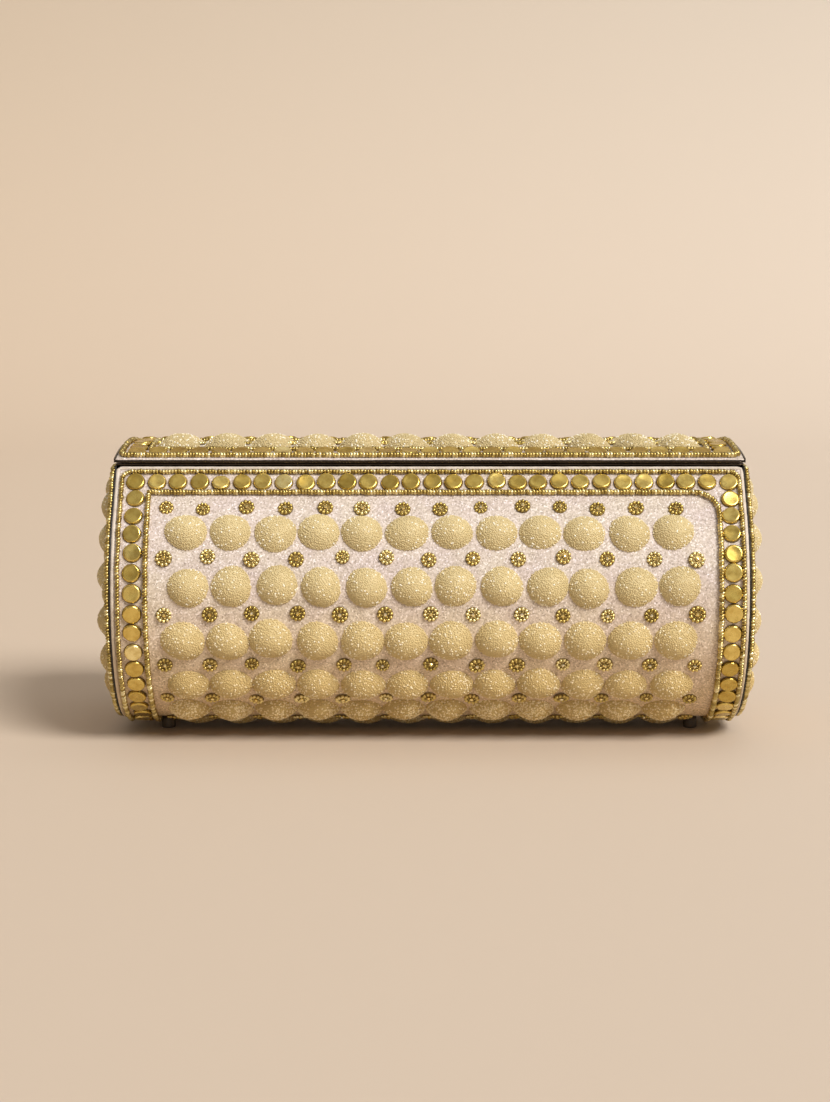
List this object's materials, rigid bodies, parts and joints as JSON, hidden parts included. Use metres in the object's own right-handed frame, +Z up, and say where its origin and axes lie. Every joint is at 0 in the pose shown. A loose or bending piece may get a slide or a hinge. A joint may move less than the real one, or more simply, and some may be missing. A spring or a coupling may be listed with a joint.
{
  "type": "evening bag",
  "caption": "Hard-shell barrel evening bag with a hinged crowned lid, beaded domes in rows, gold studs and bead borders, satin lining and small feet.",
  "frame": {"origin": "on the surface that the bag stands on, under the middle of the bag", "axes": "+X along the barrel, to the right seen from the front; -Y to the front; +Z up"},
  "size_m": [0.2238, 0.1092, 0.1038],
  "materials": {
    "cover_fabric": "shimmering white woven fabric with fine glitter",
    "piping_satin": "white satin cord piping",
    "dome_beads": "champagne caviar beads over padding",
    "gold_beads": "gold-plated seed beads",
    "gold_studs": "brushed gold-plated flat studs",
    "dark_metal": "polished black-bronze",
    "black_board": "rigid board with black edges",
    "lining_satin": "champagne satin",
    "magnet_nickel": "nickel-plated"
  },
  "bodies": {
    "body": {"body_shell": "black_board", "left_end_panel": "black_board", "right_end_panel": "black_board", "body_cover": "cover_fabric", "left_end_cover": "cover_fabric", "right_end_cover": "cover_fabric", "body_lining": "lining_satin", "body_frame": "dark_metal", "hinge_pin": "dark_metal", "closure_magnet_left": "magnet_nickel", "closure_magnet_right": "magnet_nickel", "foot_front_left": "dark_metal", "foot_front_right": "dark_metal", "foot_back_left": "dark_metal", "foot_back_right": "dark_metal", "body_piping": "piping_satin", "body_outer_bead_strand": "gold_beads", "body_inner_bead_strand": "gold_beads", "left_end_bead_strand": "gold_beads", "right_end_bead_strand": "gold_beads", "left_stud_band": "gold_studs", "right_stud_band": "gold_studs", "front_stud_band": "gold_studs", "back_stud_band": "gold_studs", "front_dome_row_1": "dome_beads", "front_dome_row_2": "dome_beads", "front_dome_row_3": "dome_beads", "front_dome_row_4": "dome_beads", "front_dome_row_5": "dome_beads", "front_dome_row_6": "dome_beads", "back_dome_row_1": "dome_beads", "back_dome_row_2": "dome_beads", "back_dome_row_3": "dome_beads", "back_dome_row_4": "dome_beads", "back_dome_row_5": "dome_beads", "back_dome_row_6": "dome_beads", "left_end_domes": "dome_beads", "right_end_domes": "dome_beads"},
    "lid": {"lid_frame": "dark_metal", "lid_board": "black_board", "lid_cover": "cover_fabric", "lid_lining": "lining_satin", "lid_outer_bead_strand": "gold_beads", "lid_inner_bead_strand": "gold_beads", "lid_left_stud_band": "gold_studs", "lid_right_stud_band": "gold_studs", "lid_front_stud_band": "gold_studs", "lid_back_stud_band": "gold_studs", "lid_front_dome_row": "dome_beads", "lid_back_dome_row": "dome_beads"}
  },
  "joints": [
    {"name": "lid_hinge", "type": "hinge", "parent": "body", "child": "lid", "pos_m": [0, 0.02925, 0.09527], "axis": [-1, 0, 0], "range_deg": [0, 105]}
  ]
}
